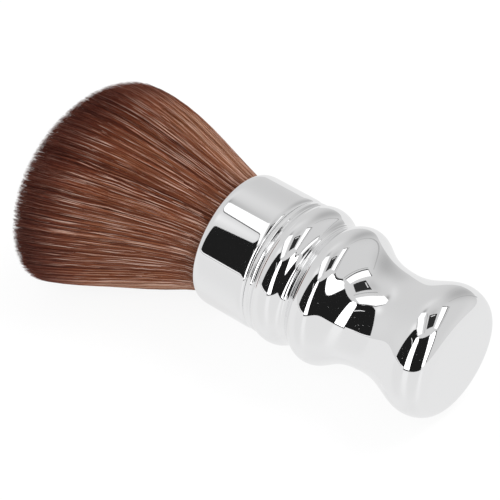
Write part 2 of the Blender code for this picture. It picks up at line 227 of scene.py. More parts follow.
# ---- materials -------------------------------------------------------------------------------
class Nodes:
    """A material's node tree, with short ways to add and join nodes."""

    def __init__(self, name):
        self.material = bpy.data.materials.new(name)
        self.material.use_nodes = True
        self.tree = self.material.node_tree
        self.shader = self.tree.nodes["Principled BSDF"]

    def add(self, kind, **settings):
        node = self.tree.nodes.new(kind)
        for name, value in settings.items():
            setattr(node, name, value)
        return node

    def join(self, output, socket):
        self.tree.links.new(output, socket)

    def noise(self, scale, detail=2.0, stretch=(1.0, 1.0, 1.0)):
        """Noise in the object's own coordinates, in cycles per metre."""
        place = self.add("ShaderNodeTexCoord")
        mapping = self.add("ShaderNodeMapping")
        mapping.inputs["Scale"].default_value = stretch
        noise = self.add("ShaderNodeTexNoise")
        noise.inputs["Scale"].default_value = scale
        noise.inputs["Detail"].default_value = detail
        self.join(place.outputs["Object"], mapping.inputs["Vector"])
        self.join(mapping.outputs["Vector"], noise.inputs["Vector"])
        return noise.outputs["Fac"]

    def ramp(self, value, stops):
        """A colour or grey for each value, from stops of (value, colour)."""
        node = self.add("ShaderNodeValToRGB")
        elements = node.color_ramp.elements
        while len(elements) < len(stops):
            elements.new(0.5)
        for element, (place, colour) in zip(elements, stops):
            element.position = place
            element.color = (*colour, 1.0)
        self.join(value, node.inputs["Fac"])
        return node.outputs["Color"]

    def remap(self, value, low, high):
        """Value from 0 to 1 spread to low to high."""
        node = self.add("ShaderNodeMapRange")
        node.inputs["To Min"].default_value = low
        node.inputs["To Max"].default_value = high
        self.join(value, node.inputs["Value"])
        return node.outputs["Result"]

    def mix(self, first, second, amount, blend="MIX"):
        """One colour laid over another; the second may be a plain colour."""
        node = self.add("ShaderNodeMix", data_type="RGBA", blend_type=blend)
        self.join(first, node.inputs["A"])
        if isinstance(second, tuple):
            node.inputs["B"].default_value = (*second, 1.0)
        else:
            self.join(second, node.inputs["B"])
        if isinstance(amount, float):
            node.inputs["Factor"].default_value = amount
        else:
            self.join(amount, node.inputs["Factor"])
        return node.outputs["Result"]

    def bump(self, height, distance):
        """Relief of the whole surface, from a height of 0 to 1 times distance."""
        node = self.add("ShaderNodeBump")
        node.inputs["Distance"].default_value = distance
        node.inputs["Strength"].default_value = 1.0
        self.join(height, node.inputs["Height"])
        self.join(node.outputs["Normal"], self.shader.inputs["Normal"])


def grey(level):
    """A neutral colour."""
    return (level, level, level)


def chrome():
    """Mirror plating with a faint haze and slow waves from the moulding."""
    nodes = Nodes("chrome_plate")
    shader = nodes.shader
    shader.inputs["Metallic"].default_value = 1.0
    shader.inputs["Base Color"].default_value = (0.890, 0.891, 0.896, 1.0)
    nodes.join(nodes.remap(nodes.noise(90.0), 0.015, 0.05), shader.inputs["Roughness"])
    nodes.bump(nodes.noise(120.0, detail=1.0), 0.0000015)
    return nodes.material


def filament():
    """Dyed filaments, with painted shade near the root and towards the tips: the map's U picks the
    strand's tint and its V runs from root to tip.

    A second pattern over the map paints pale glints, highlights that come and go along each
    strand.
    """
    nodes = Nodes("filament")
    shader = nodes.shader
    uv = nodes.add("ShaderNodeUVMap", uv_map="OFBake")
    split = nodes.add("ShaderNodeSeparateXYZ")
    nodes.join(uv.outputs["UV"], split.inputs["Vector"])
    # the paler tints, tan to pale, come partly from random spread and largely from the lanes'
    # painted light
    tint = nodes.ramp(split.outputs["X"], [
        (0.00, (0.055, 0.010, 0.004)), (0.26, (0.145, 0.033, 0.011)),
        (0.48, (0.230, 0.070, 0.028)), (0.66, (0.410, 0.188, 0.105)),
        (0.84, (0.680, 0.450, 0.330)), (0.85, (0.225, 0.068, 0.027)),
        (1.00, (0.225, 0.068, 0.027))])
    # painted shade along the filaments: darker at the roots in the ferrule's mouth, and darker
    # towards the tips, there partly the tips' own darker colour and partly painted shade
    shade = nodes.ramp(split.outputs["Y"], [
        (0.00, grey(0.62)), (0.25, grey(1.0)), (0.58, grey(1.0)),
        (0.72, (0.86, 0.74, 0.72)), (0.82, (0.58, 0.42, 0.40)),
        (0.92, (0.40, 0.24, 0.24)), (1.00, (0.44, 0.28, 0.28))])
    tinted_and_shaded = nodes.mix(tint, shade, 1.0, "MULTIPLY")

    # painted highlights: pale glints laid over the glinting filaments' colour, fading towards the
    # tips
    mapping = nodes.add("ShaderNodeMapping")
    mapping.inputs["Scale"].default_value = (260.0, 4.5, 1.0)
    nodes.join(uv.outputs["UV"], mapping.inputs["Vector"])
    glints = nodes.add("ShaderNodeTexNoise")
    glints.inputs["Scale"].default_value = 1.0
    glints.inputs["Detail"].default_value = 1.0
    nodes.join(mapping.outputs["Vector"], glints.inputs["Vector"])
    amount = nodes.ramp(glints.outputs["Fac"], [
        (0.0, grey(0.0)), (0.48, grey(0.0)), (0.58, grey(1.0))])
    glinting = nodes.ramp(split.outputs["X"], [
        (0.0, grey(0.0)), (GLINTING_START - 0.005, grey(0.0)), (GLINTING_START, grey(1.0))])
    from_tips = nodes.ramp(split.outputs["Y"], [
        (0.0, grey(1.0)), (0.72, grey(1.0)), (0.84, grey(0.30)), (1.0, grey(0.10))])
    amount = nodes.mix(nodes.mix(amount, glinting, 1.0, "MULTIPLY"), from_tips, 1.0, "MULTIPLY")
    lit = nodes.mix(tinted_and_shaded, (0.640, 0.430, 0.345), amount)
    nodes.join(lit, shader.inputs["Base Color"])
    nodes.join(nodes.remap(nodes.noise(160.0), 0.34, 0.52), shader.inputs["Roughness"])
    shader.inputs["Specular IOR Level"].default_value = 0.26
    return nodes.material


def core_material():
    """The dense middle of the tuft, streaked along the filaments, and darker than them: painted
    shade in the gaps between them.
    """
    nodes = Nodes("filament_core")
    glinting_tints = nodes.noise(900.0, detail=3.0, stretch=(0.06, 1.0, 1.0))
    # dark browns: painted shade for the gaps between the filaments
    colour = nodes.ramp(glinting_tints, [(0.3, (0.030, 0.010, 0.007)), (0.7, (0.110, 0.036, 0.022))])
    nodes.join(colour, nodes.shader.inputs["Base Color"])
    nodes.shader.inputs["Roughness"].default_value = 0.75
    nodes.bump(glinting_tints, 0.0004)
    return nodes.material


def moulded_plastic():
    """The cup's matt plastic."""
    nodes = Nodes("cup_plastic")
    colour = nodes.ramp(nodes.noise(400.0), [
        (0.3, (0.55, 0.53, 0.49)), (0.7, (0.62, 0.60, 0.56))])
    nodes.join(colour, nodes.shader.inputs["Base Color"])
    nodes.join(nodes.remap(nodes.noise(900.0), 0.45, 0.65), nodes.shader.inputs["Roughness"])
    nodes.bump(nodes.noise(2500.0), 0.00002)
    return nodes.material


def cast_resin():
    """The amber resin under the filaments."""
    nodes = Nodes("potting_resin")
    colour = nodes.ramp(nodes.noise(250.0, detail=4.0), [
        (0.3, (0.42, 0.22, 0.06)), (0.7, (0.58, 0.36, 0.13))])
    nodes.join(colour, nodes.shader.inputs["Base Color"])
    nodes.shader.inputs["Roughness"].default_value = 0.22
    nodes.shader.inputs["Coat Weight"].default_value = 0.4
    nodes.bump(nodes.noise(300.0), 0.0001)
    return nodes.material


def satin_metal():
    """The band's satin metal, brushed round its axis."""
    nodes = Nodes("band_metal")
    nodes.shader.inputs["Base Color"].default_value = (0.62, 0.62, 0.64, 1.0)
    nodes.shader.inputs["Metallic"].default_value = 1.0
    brushed = nodes.noise(3000.0, stretch=(1.0, 0.05, 0.05))
    nodes.join(nodes.remap(brushed, 0.25, 0.45), nodes.shader.inputs["Roughness"])
    return nodes.material


# ---- chrome pieces ---------------------------------------------------------------------------
def turned_curve(start, end, curve):
    """Points after start of a smooth S-curve between two crests given as (radius, height)."""
    lead, trail = curve
    rise = end[1] - start[1]
    points = []
    count = math.ceil(abs(rise) / CURVE_STEP)
    for step in range(1, count + 1):
        t = step / count
        radius = start[0] + (end[0] - start[0]) * t * t * (3 - 2 * t)
        along = 3 * t * (1 - t) ** 2 * lead + 3 * t * t * (1 - t) * (1 - trail) + t ** 3
        points.append((radius, start[1] + rise * along))
    return points


def two_arcs(start, end, share):
    """Points after start of an S-curve of two arcs; share is the first one's part of it.

    At a share of 0 the first arc falls away.
    """
    across, along = end[0] - start[0], end[1] - start[1]
    slope = 2 * math.atan(abs(across / along))
    count = math.ceil(abs(along) / CURVE_STEP)
    rest = 1 - share

    def arc(part, turn):
        """How far an arc that makes up this part has gone across and along at this turn."""
        return (part * (1 - math.cos(turn)) / (1 - math.cos(slope)),
                part * math.sin(turn) / math.sin(slope))

    steps = []
    if share > 0:
        turns = np.linspace(0.0, slope, round(count * share) + 1)[1:]
        steps += [arc(share, turn) for turn in turns]
    for turn in np.linspace(slope, 0.0, round(count * rest) + 1)[1:]:
        left_across, left_along = arc(rest, turn)
        steps.append((1 - left_across, 1 - left_along))
    return [(start[0] + across * a, start[1] + along * b) for a, b in steps]


def quarter_round(start, end, bulge_first):
    """Points after start of an elliptical quarter; bulge_first keeps the radius longest."""
    points = []
    for step in range(1, ROUND_POINTS + 1):
        turn = 0.5 * math.pi * step / ROUND_POINTS
        if bulge_first:
            across, along = 1 - math.cos(turn), math.sin(turn)
        else:
            across, along = math.sin(turn), 1 - math.cos(turn)
        points.append((start[0] + (end[0] - start[0]) * across,
                       start[1] + (end[1] - start[1]) * along))
    return points


def refined(outline):
    """The outline with points added, so that shading near an edge stays near it."""
    points = [outline[0]]
    for start, end in zip(outline, outline[1:]):
        count = max(1, math.ceil(math.dist(start, end) / LONGEST_STRETCH))
        for step in range(1, count + 1):
            share = step / count
            points.append((start[0] + (end[0] - start[0]) * share,
                           start[1] + (end[1] - start[1]) * share))
    return points


def ribbed(outline, low, high, count, depth):
    """The outline with fine turned ribs between two heights, fading out at both ends."""
    steps = np.linspace(low, high, RIB_POINTS * count + 1)[1:-1]
    heights = np.array([point[1] for point in outline])[::-1]
    radii = np.array([point[0] for point in outline])[::-1]
    share = (steps - low) / (high - low)
    ribs = depth * np.sin(math.pi * count * share) ** 2
    lines = [(float(r), float(h)) for r, h in zip(np.interp(steps, heights, radii) + ribs, steps)]
    above = [point for point in outline if point[1] >= high]
    below = [point for point in outline if point[1] <= low]
    return above + lines[::-1] + below


def handle_profile():
    """The body's section, from the axis in its socket over the spigot down to the flat end."""
    shoulder = (FERRULE_RADIUS - SHOULDER_STEP, SHOULDER_HEIGHT)
    bead = (BEAD_RADIUS, BEAD_HEIGHT)
    neck = (NECK_RADIUS, NECK_HEIGHT)
    upper_ring = (UPPER_RING_RADIUS, UPPER_RING_HEIGHT)
    groove = (GROOVE_RADIUS, GROOVE_HEIGHT)
    lower_ring = (LOWER_RING_RADIUS, LOWER_RING_HEIGHT)
    waist = (WAIST_RADIUS, WAIST_HEIGHT)
    pommel = (POMMEL_RADIUS, POMMEL_HEIGHT)
    outline = [shoulder]
    outline += quarter_round(shoulder, bead, bulge_first=False)
    outline += quarter_round(bead, neck, bulge_first=True)
    outline += two_arcs(neck, upper_ring, 0.0)
    outline += two_arcs(upper_ring, groove, UPPER_RING_SHARE)
    outline += turned_curve(groove, lower_ring, LOWER_RING_CURVE)
    outline += turned_curve(lower_ring, waist, WAIST_CURVE)
    outline += turned_curve(waist, pommel, POMMEL_CURVE)
    outline += quarter_round(pommel, (END_FACE_RADIUS, 0.0), bulge_first=True)
    outline.append((0.0, 0.0))
    spigot_radius = FERRULE_BORE - FIT_GAP
    socket_radius = spigot_radius - SPIGOT_WALL
    spigot_top = SHOULDER_HEIGHT + SPIGOT_RISE
    inside = [(0.0, spigot_top - SOCKET_DEPTH), (socket_radius, spigot_top - SOCKET_DEPTH),
              (socket_radius, spigot_top), (spigot_radius, spigot_top),
              (spigot_radius, SHOULDER_HEIGHT)]
    outline = refined(outline)
    for low, high, count, depth in RIBS:
        outline = ribbed(outline, low, high, count, depth)
    return inside + outline


def ferrule_profile():
    """The ferrule's section, closed, from the foot of its bore."""
    rim_outer = (FERRULE_RADIUS - RIM_ROUND_DEPTH, RIM_HEIGHT)
    side_top = (FERRULE_RADIUS, RIM_HEIGHT - RIM_ROUND_LENGTH)
    side_foot = (FERRULE_RADIUS, FERRULE_FOOT + FOOT_ROUND_LENGTH)
    foot = (FERRULE_RADIUS - FOOT_ROUND_DEPTH, FERRULE_FOOT)
    outline = [(FERRULE_BORE, FERRULE_FOOT), (FERRULE_BORE, RIM_HEIGHT), rim_outer]
    outline += quarter_round(rim_outer, side_top, bulge_first=False)
    outline.append(side_foot)
    outline += quarter_round(side_foot, foot, bulge_first=True)
    return refined(outline)


def spun(profile, steps):
    """Points of a section of (radius, height) spun round the axis, one row to a height."""
    section = np.array(profile)
    turns = np.linspace(0.0, 2 * math.pi, steps, endpoint=False)
    points = np.empty((len(section), steps, 3))
    points[..., 0] = section[:, None, 0] * np.cos(turns)
    points[..., 1] = section[:, None, 0] * np.sin(turns)
    points[..., 2] = section[:, None, 1]
    return points


def turned(name, profile, material):
    """A turned piece from a section of (radius, height), closed on the axis or on itself."""
    on_axis = profile[0][0] == 0.0
    points = spun(profile[1:-1] if on_axis else profile, TURN_STEPS)
    vertices = points.reshape(-1, 3)
    index = np.arange(len(vertices)).reshape(points.shape[:2])
    if not on_axis:
        index = np.vstack([index, index[:1]])
    after = np.roll(index, -1, axis=1)
    faces = np.stack([index[1:], after[1:], after[:-1], index[:-1]], -1).reshape(-1, 4).tolist()
    if on_axis:
        first, last = len(vertices), len(vertices) + 1
        vertices = np.vstack([vertices, [(0.0, 0.0, profile[0][1]), (0.0, 0.0, profile[-1][1])]])
        faces += [(first, index[0, i], after[0, i]) for i in range(TURN_STEPS)]
        faces += [(last, after[-1, i], index[-1, i]) for i in range(TURN_STEPS)]
    mesh = bpy.data.meshes.new(name)
    mesh.from_pydata(lay_down(vertices).tolist(), [], faces)
    mesh.shade_smooth()
    mesh.set_sharp_from_angle(angle=SHARP_ANGLE)
    return put(mesh, name, material)


def put(mesh, name, material):
    """Add a mesh to the scene as an object of one material."""
    mesh.materials.append(material)
    piece = bpy.data.objects.new(name, mesh)
    bpy.context.scene.collection.objects.link(piece)
    return piece


# ---- the tuft --------------------------------------------------------------------------------
def bezier(values, t):
    """A cubic Bezier curve through four values."""
    s = 1 - t
    return (s ** 3 * values[0] + 3 * s * s * t * values[1]
            + 3 * s * t * t * values[2] + t ** 3 * values[3])


FLARE_STEPS = np.linspace(0.0, 1.0, 500)
FLARE_ALONG = bezier((0.0, FLARE_START, TUFT_WIDEST_REACH - FLARE_END, TUFT_WIDEST_REACH),
                     FLARE_STEPS)
FLARE_ACROSS = bezier((MOUTH_RADIUS, MOUTH_RADIUS + FLARE_SLOPE * FLARE_START,
                       TUFT_RADIUS, TUFT_RADIUS), FLARE_STEPS)
REST_HEIGHT = BRUSH.translation.z
REST_TILT = math.asin(BRUSH.col[2].z)


def flare_radius(reach):
    """The tuft's radius at a distance above the rim."""
    return np.interp(reach, FLARE_ALONG, FLARE_ACROSS)


def settled(points):
    """Points of the upright tuft, let down onto the floor as in the CAD model."""
    x, y, z = points[..., 0], points[..., 1], points[..., 2]
    reach = np.maximum(0.0, z - RIM_HEIGHT)
    drift = (reach / (DOME_BASE_REACH + DOME_RISE)) ** LEAN_POWER
    side = y - TUFT_LEAN * drift
    depth = TUFT_SAG * drift - x
    need = flare_radius(reach) + TUFT_SAG * drift
    room = (REST_HEIGHT + z * math.sin(REST_TILT)) / math.cos(REST_TILT)
    excess = np.maximum(1e-9, need - room)
    power = np.minimum(FLATTEN_POWER, SQUEEZE_LIMIT * need / excess)
    share = np.clip(depth / need, 0.0, 1.0)
    depth = depth - np.where(excess > 1e-9, excess * share ** power, 0.0)
    side = side * (1 + SIDE_SWELL * share ** 2 * np.clip(excess / SWELL_SQUEEZE, 0.0, 1.0))
    return np.stack([-depth, side, z], -1)


def tip_reach(share, angle):
    """Rim to dome, for a place at this share of the radius and this angle from the upper side."""
    dome = DOME_RISE * np.maximum(0.0, 1 - share ** DOME_POWER) ** (1 / DOME_POWER)
    lead = DOME_TOP_LEAD * np.cos(angle) - DOME_SIDE_LEAD * np.sin(angle)
    return DOME_BASE_REACH + dome + share ** 2 * lead


def filament_paths(random, share, angle, start, sections):
    """Centre lines of filaments, as points (filament, section).

    With them come each point's reach above the rim, each filament's own end, and the number of
    the lock that it belongs to.
    """
    count = len(share)
    end = (tip_reach(share, angle) + TIP_SURPLUS
           - random.gamma(TIP_SPREAD_SHAPE, TIP_SPREAD, count))
    steps = np.linspace(0.0, 1.0, sections) ** SECTION_POWER
    reach = start[:, None] + (end - start)[:, None] * steps
    free = np.clip(reach / FREE_REACH, 0.0, 1.0)

    layer = np.floor((1 - share) / LOCK_LAYER)
    place = angle / (2 * math.pi) * LOCK_COUNT + LOCK_STAGGER * layer
    lock = np.floor(place)
    pull = (lock + 0.5 - place) * 2 * math.pi / LOCK_COUNT
    # a number for each lock of each layer, and then one without gaps
    _, key = np.unique((lock + 1000 * layer).astype(int), return_inverse=True)
    locks = key.max() + 1
    phase = random.uniform(0, 2 * math.pi, locks)[key]
    wave = random.uniform(*LOCK_WAVE, locks)[key]
    length = random.uniform(*LOCK_WAVE_LENGTH, locks)[key]
    grown = reach / end[:, None]
    turn = angle[:, None] + LOCK_PULL * pull[:, None] * np.clip(grown, 0, 1) ** 2
    sway = wave[:, None] * np.sin(2 * math.pi * reach / length[:, None] + phase[:, None]) * free

    own_phase = random.uniform(0, 2 * math.pi, count)[:, None]
    own_length = random.uniform(*OWN_WAVE_LENGTH, count)[:, None]
    sway = sway + OWN_WAVE * np.sin(2 * math.pi * reach / own_length + own_phase) * free
    stray = random.normal(0.0, STRAY_SLOPE, count)[:, None]
    sway = sway + stray * np.maximum(0.0, reach)
    sink = np.abs(random.normal(0.0, SINK_SPREAD, count))[:, None] * free

    radius = share[:, None] * flare_radius(reach) - sink - FIBRE_WIDTH
    centres = np.empty((count, sections, 3))
    centres[..., 0] = radius * np.cos(turn) - sway * np.sin(turn)
    centres[..., 1] = radius * np.sin(turn) + sway * np.cos(turn)
    centres[..., 2] = RIM_HEIGHT + reach
    return lay_down(settled(centres)), reach, end, key


def filament_mesh(name, centres, reach, end, tint, material):
    """Closed three-sided tubes round centre lines, each ending in a point."""
    count, sections = reach.shape
    along = np.gradient(centres, axis=1)
    along /= np.linalg.norm(along, axis=2, keepdims=True)
    across = np.cross(along, ANY_WAY)
    across /= np.linalg.norm(across, axis=2, keepdims=True)
    over = np.cross(along, across)
    left = np.clip((end[:, None] - reach) / TIP_TAPER, 0.0, 1.0)
    width = FIBRE_WIDTH * (TIP_WIDTH + (1 - TIP_WIDTH) * left ** TAPER_POWER)
    width *= np.where(tint > GLINTING_START, GLINTING_WIDTH, 1.0)[:, None]

    rings = np.empty((count, sections, 3, 3))
    for side in range(3):
        turn = 2 * math.pi * side / 3
        outwards = math.cos(turn) * across + math.sin(turn) * over
        rings[:, :, side] = centres + width[..., None] * outwards
    tips = centres[:, -1] + along[:, -1] * TIP_POINT
    per_fibre = 3 * sections + 1
    vertices = np.concatenate([rings.reshape(count, -1, 3), tips[:, None]], axis=1)
    vertices[..., 2] = np.maximum(vertices[..., 2], FLOOR_CLEARANCE)

    triangles = [(0, 2, 1)]
    for section in range(sections - 1):
        for side in range(3):
            a, b = 3 * section + side, 3 * section + (side + 1) % 3
            triangles += [(a, b, b + 3), (a, b + 3, a + 3)]
    base = 3 * (sections - 1)
    triangles += [(base, base + 1, per_fibre - 1), (base + 1, base + 2, per_fibre - 1),
                  (base + 2, base, per_fibre - 1)]
    triangles = np.array(triangles)
    faces = (triangles[None] + per_fibre * np.arange(count)[:, None, None]).reshape(-1, 3)

    grown = np.clip((reach - ROOT_REACH) / (end[:, None] - ROOT_REACH), 0.0, 1.0)
    uv_u = np.empty((count, per_fibre))
    for side in range(3):
        uv_u[:, side:-1:3] = (tint + MAP_COLUMN * (side / 2 - 0.5))[:, None]
    uv_u[:, -1] = tint
    uv_v = np.concatenate([np.repeat(MAP_TOP * grown, 3, axis=1), np.ones((count, 1))], axis=1)
    uv = np.stack([uv_u, uv_v], -1).reshape(-1, 2)

    mesh = bpy.data.meshes.new(name)
    mesh.vertices.add(count * per_fibre)
    mesh.vertices.foreach_set("co", vertices.astype(np.float32).ravel())
    mesh.loops.add(faces.size)
    mesh.loops.foreach_set("vertex_index", faces.astype(np.int32).ravel())
    mesh.polygons.add(len(faces))
    mesh.polygons.foreach_set("loop_start", np.arange(0, faces.size, 3, dtype=np.int32))
    mesh.polygons.foreach_set("use_smooth", np.ones(len(faces), bool))
    layer = mesh.uv_layers.new(name="OFBake")
    layer.uv.foreach_set("vector", uv[faces.ravel()].astype(np.float32).ravel())
    mesh.update()
    return put(mesh, name, material)


def lane_light_and_shade(angle):
    """Painted light and shade: change of tint by the lanes, for angles in radians from the upper
    side.
    """
    turned_by = (np.degrees(angle) + 180) % 360 - 180
    change = np.zeros_like(turned_by)
    for middle, width, amount in PAINTED_LIGHT_LANES:
        change += amount * np.exp(-((turned_by - middle) / width) ** 2)
    return change


def tints(random, key, angle):
    """Each filament's tint: painted light and shade by its angle, its lock's tint and a spread
    within, or a tint for painted pale highlights (glints).
    """
    lock_tint = random.normal(LOCK_TINT, LOCK_TINT_SPREAD, key.max() + 1)[key]
    tint = lock_tint + lane_light_and_shade(angle) + random.normal(0.0, OWN_TINT_SPREAD, len(key))
    tint = np.clip(tint, TINT_MARGIN, GLINTING_START - 2 * TINT_MARGIN)
    # filaments with painted pale highlights (glints) get their tints from the top of the map
    glinting = random.random(len(key)) < GLINTING_SHARE
    glinting_tints = random.uniform(GLINTING_START + TINT_MARGIN, 1 - TINT_MARGIN, len(key))
    return np.where(glinting, glinting_tints, tint)


def filaments(random, name, share, angle, start, sections, material):
    """Filaments in as many pieces as the face limit asks for."""
    centres, reach, end, key = filament_paths(random, share, angle, start, sections)
    tint = tints(random, key, angle)
    per_piece = PIECE_FACES // (6 * sections - 2)
    pieces = []
    for number, first in enumerate(range(0, len(share), per_piece)):
        part = slice(first, first + per_piece)
        pieces.append(filament_mesh(f"{name}_{number + 1}", centres[part], reach[part],
                                    end[part], tint[part], material))
    return pieces


def shell_filaments(material):
    """The long filaments that make the tuft's sides, mixed so that each piece goes all round."""
    random = np.random.default_rng(SHELL_SEED)
    share = 1 - SHELL_DEPTH * random.random(SHELL_COUNT) ** SHELL_CROWDING
    angle = random.uniform(0, 2 * math.pi, SHELL_COUNT)
    start = np.full(SHELL_COUNT, ROOT_REACH)
    return filaments(random, "side_filaments", share, angle, start, SHELL_SECTIONS, material)


def dome_filaments(material):
    """The ends of the inner filaments, in a sunflower pattern over the whole dome."""
    random = np.random.default_rng(DOME_SEED)
    order = np.arange(DOME_COUNT)
    share = np.sqrt((order + 0.5) / DOME_COUNT) * (1 - DOME_MARGIN * SHELL_DEPTH)
    angle = order * math.pi * (3 - math.sqrt(5)) + random.normal(0, DOME_UNEVENNESS, DOME_COUNT)
    angle = angle % (2 * math.pi)
    mixed = random.permutation(DOME_COUNT)
    share, angle = share[mixed], angle[mixed]
    start = tip_reach(share, angle) - DOME_LENGTH
    return filaments(random, "dome_filaments", share, angle, start, DOME_SECTIONS, material)


def tuft_core(material):
    """The dense middle: a closed body of the tuft's own form, under the filaments."""
    side = np.linspace(ROOT_REACH, DOME_BASE_REACH - CORE_SHORTFALL, CORE_SIDE_RINGS)
    profile = [(CORE_SHARE * radius, RIM_HEIGHT + reach)
               for radius, reach in zip(flare_radius(side), side)]
    top_radius, dome_base = profile[-1]
    for step in range(1, CORE_DOME_RINGS):
        share = math.cos(0.5 * math.pi * step / CORE_DOME_RINGS)
        profile.append((top_radius * share, dome_base + DOME_RISE * math.sqrt(1 - share * share)))
    points = spun(profile, CORE_STEPS)
    ends = [(0.0, 0.0, profile[0][1]), (0.0, 0.0, dome_base + DOME_RISE)]
    vertices = lay_down(settled(np.vstack([points.reshape(-1, 3), ends])))
    index = np.arange(len(vertices) - 2).reshape(points.shape[:2])
    after = np.roll(index, -1, axis=1)
    faces = np.stack([index[:-1], after[:-1], after[1:], index[1:]], -1).reshape(-1, 4).tolist()
    bottom, top = len(vertices) - 2, len(vertices) - 1
    faces += [(bottom, after[0, i], index[0, i]) for i in range(CORE_STEPS)]
    faces += [(top, index[-1, i], after[-1, i]) for i in range(CORE_STEPS)]
    mesh = bpy.data.meshes.new("tuft_core")
    mesh.from_pydata(vertices.tolist(), [], faces)
    mesh.shade_smooth()
    return put(mesh, "tuft_core", material)


# ---- studio ----------------------------------------------------------------------------------
ROOM_LEVEL = 0.70            # what the chrome sees of the pale room
LIGHT_LEVEL = 0.95           # how brightly the room lights the rest
TABLE_LEVEL = 0.89           # what the chrome sees of the floor
SHADOW_SHARE = 0.10          # how strongly the floor shows its shadow
FLOOR_HALF = 3.0
WALL_RADIUS = 1.2
WALL_FOOT = -8               # elevation at which the wall starts
CARD_RADIUS = 0.302          # distance of the upright cards from the handle
CEILING_HEIGHT = 0.45        # of the ceiling cards above the handle
CARD_DROP = 0.0409           # rim to the place on the handle that all cards stand round
CARD_CENTRE = BRUSH @ Vector((0.0, 0.0, RIM_HEIGHT - CARD_DROP))
CARD_STEPS = 24              # across a curved card
FAR = -0.350                 # nearness of the left opening, well behind the other cards
WHITE = 1.25                 # levels of light
BRIGHT = 2.2
DARK = 0.014

# small points of light in the dark openings: azimuth and elevation
SPARKS = [(-106, 8), (-104, 14), (-108, 17), (-102, 10), (-118, 20), (-97, 24), (-66, 22),
          (-52, 12)]
SPARK_SIZE = 0.6

# soft lighter and darker places of the room: azimuth, elevation, their half-widths, change
ROOM_PLACES = [
    (-145, 20, 30, 30, 0.06),
    (40, 8, 50, 16, 0.06),
    (97, 28, 18, 28, -0.22),
    (96, 8, 12, 12, -0.08),
    (150, 52, 22, 9, 0.10),
    (-140, 50, 12, 8, 0.22),
    (176, 60, 12, 4, -0.34),
    (140, 82, 60, 8, -0.12),
]


def cleared(owner):
    """The empty node tree of a material or world."""
    owner.use_nodes = True
    owner.node_tree.nodes.clear()
    return owner.node_tree


def plain(tree, kind, level):
    """A shader of one grey."""
    node = tree.nodes.new(kind)
    node.inputs["Color"].default_value = (*grey(level), 1.0)
    return node


def either(tree, share, first, second):
    """A mix of two shaders; share, a number or an output, is the second one's."""
    node = tree.nodes.new("ShaderNodeMixShader")
    if isinstance(share, float):
        node.inputs["Fac"].default_value = share
    else:
        tree.links.new(share, node.inputs["Fac"])
    tree.links.new(first.outputs[0], node.inputs[1])
    tree.links.new(second.outputs[0], node.inputs[2])
    return node


def finish_tree(tree, kind, shader):
    """Join a shader to the tree's output."""
    output = tree.nodes.new(kind)
    tree.links.new(shader.outputs[0], output.inputs["Surface"])


def emission(name, level):
    """A material that only glows, at this level of grey."""
    material = bpy.data.materials.new(name)
    tree = cleared(material)
    finish_tree(tree, "ShaderNodeOutputMaterial", plain(tree, "ShaderNodeEmission", level))
    return material


def room_wall():
    """A great dome round the brush, whose brightness changes softly from place to place."""
    azimuth, elevation = np.meshgrid(np.arange(-180, 181, 4), np.arange(WALL_FOOT, 91, 2))
    level = np.full(azimuth.shape, ROOM_LEVEL)
    for place_azimuth, place_elevation, wide, high, change in ROOM_PLACES:
        away = (azimuth - place_azimuth + 180) % 360 - 180
        level += change * np.exp(-(away / wide) ** 2 - ((elevation - place_elevation) / high) ** 2)
    points = np.array(CARD_CENTRE) + WALL_RADIUS * towards(azimuth, elevation)
    wall = sheet("room_wall", points, emission("room_wall", 1.0))
    shades = wall.data.attributes.new("level", "FLOAT", "POINT")
    shades.data.foreach_set("value", level.ravel())
    tree = wall.data.materials[0].node_tree
    source = tree.nodes.new("ShaderNodeAttribute")
    source.attribute_name = "level"
    tree.links.new(source.outputs["Fac"], tree.nodes["Emission"].inputs["Strength"])
    only_in_reflections(wall)


def towards(azimuth, elevation):
    """Unit vectors from azimuth (0 along +X, 90 along +Y) and elevation, in degrees."""
    azimuth, elevation = np.radians(azimuth), np.radians(elevation)
    return np.stack([np.cos(azimuth) * np.cos(elevation), np.sin(azimuth) * np.cos(elevation),
                     np.sin(elevation)], -1)


def sheet(name, points, material):
    """A surface through a grid of points."""
    rows, columns = points.shape[:2]
    index = np.arange(rows * columns).reshape(rows, columns)
    faces = np.stack([index[:-1, :-1], index[:-1, 1:], index[1:, 1:], index[1:, :-1]], -1)
    mesh = bpy.data.meshes.new(name)
    mesh.from_pydata(points.reshape(-1, 3).tolist(), [], faces.reshape(-1, 4).tolist())
    return put(mesh, name, material)


def card(name, level, lower, upper, nearer=0.0):
    """A curved card round the brush, seen only in the chrome.

    Its lower and upper edges are lists of (azimuth, elevation) in degrees, from left to right
    as the azimuth grows. A nearer card lies in front of the others.
    """
    across = np.linspace(0.0, 1.0, CARD_STEPS + 1)

    def edge(corners):
        corners = np.array(corners, float)
        places = np.linspace(0.0, 1.0, len(corners))
        return np.stack([np.interp(across, places, corners[:, axis]) for axis in (0, 1)], -1)

    over = across[:, None, None]
    angles = (1 - over) * edge(lower) + over * edge(upper)
    points = towards(angles[..., 0], angles[..., 1]) * (CARD_RADIUS - nearer)
    board = sheet(name, points + np.array(CARD_CENTRE), emission(name, level))
    only_in_reflections(board)


def ceiling_card(name, level, corners, nearer=0.0):
    """A flat card over the brush; its corners are (x, y) for a ceiling at height 1."""
    height = CEILING_HEIGHT - nearer
    points = [tuple(CARD_CENTRE + height * Vector((x, y, 1.0))) for x, y in corners]
    mesh = bpy.data.meshes.new(name)
    mesh.from_pydata(points, [], [tuple(range(len(points)))])
    board = put(mesh, name, emission(name, level))
    only_in_reflections(board)


def only_in_reflections(board):
    """Hide a card from all but the gloss of the object."""
    board.visible_camera = False
    board.visible_diffuse = False
    board.visible_transmission = False
    board.visible_volume_scatter = False
    board.visible_shadow = False


